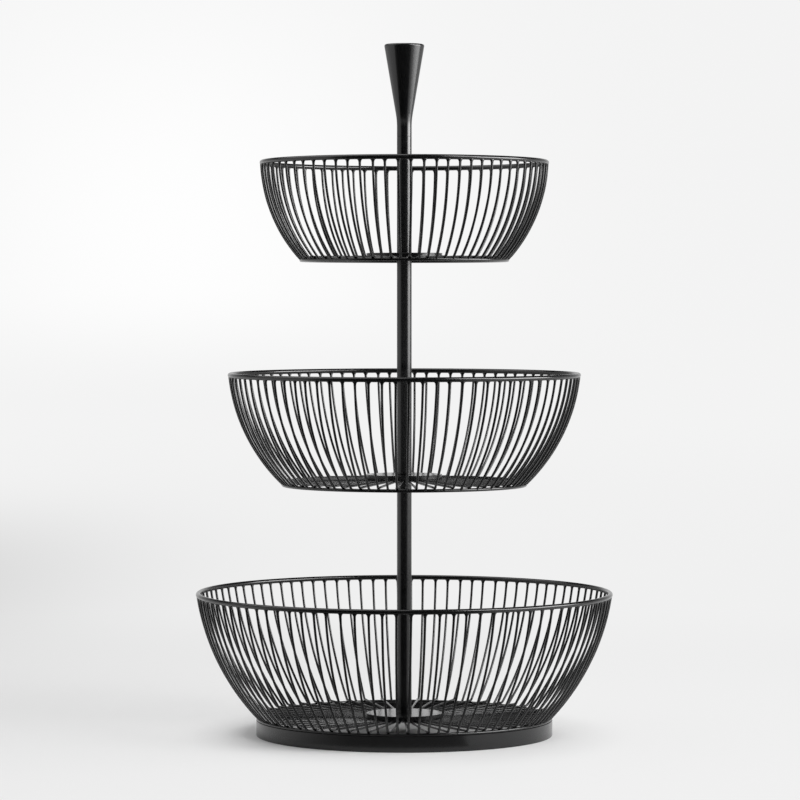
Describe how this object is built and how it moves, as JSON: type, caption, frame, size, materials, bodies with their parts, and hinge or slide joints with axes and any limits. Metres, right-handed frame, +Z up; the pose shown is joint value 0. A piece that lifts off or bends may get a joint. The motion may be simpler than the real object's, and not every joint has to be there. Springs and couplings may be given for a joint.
{
  "type": "tiered wire basket",
  "caption": "Free-standing tiered basket: round open wire bowls of falling size, threaded on one centre post with a flared finial, on a plain foot band.",
  "frame": {"origin": "on the floor, under the centre of the post", "axes": "+Z up along the post; X and Y across the round baskets, -Y towards the viewer of the picture"},
  "size_m": [0.3593, 0.3594, 0.595],
  "materials": {
    "black_coat": "satin black powder coat with a fine even texture",
    "zinc_steel": "bright zinc plate on turned steel",
    "dark_zinc": "black zinc plate on steel"
  },
  "bodies": {
    "root": {"bottom_rim": "black_coat", "bottom_floor_ring": "black_coat", "bottom_long_ribs": "black_coat", "bottom_short_ribs": "black_coat", "bottom_hub_plate": "black_coat", "middle_rim": "black_coat", "middle_floor_ring": "black_coat", "middle_long_ribs": "black_coat", "middle_short_ribs": "black_coat", "middle_hub_plate": "black_coat", "top_rim": "black_coat", "top_floor_ring": "black_coat", "top_long_ribs": "black_coat", "top_short_ribs": "black_coat", "top_hub_plate": "black_coat", "foot_band": "black_coat", "lower_post": "black_coat", "lower_post_lower_insert": "zinc_steel", "lower_post_upper_insert": "zinc_steel", "middle_post": "black_coat", "middle_post_lower_insert": "zinc_steel", "middle_post_upper_insert": "zinc_steel", "upper_post": "black_coat", "upper_post_lower_insert": "zinc_steel", "upper_post_upper_insert": "zinc_steel", "middle_stud": "zinc_steel", "top_stud": "zinc_steel", "finial_stud": "zinc_steel", "foot_screw": "dark_zinc", "foot_washer": "dark_zinc", "finial": "black_coat"}
  },
  "joints": []
}
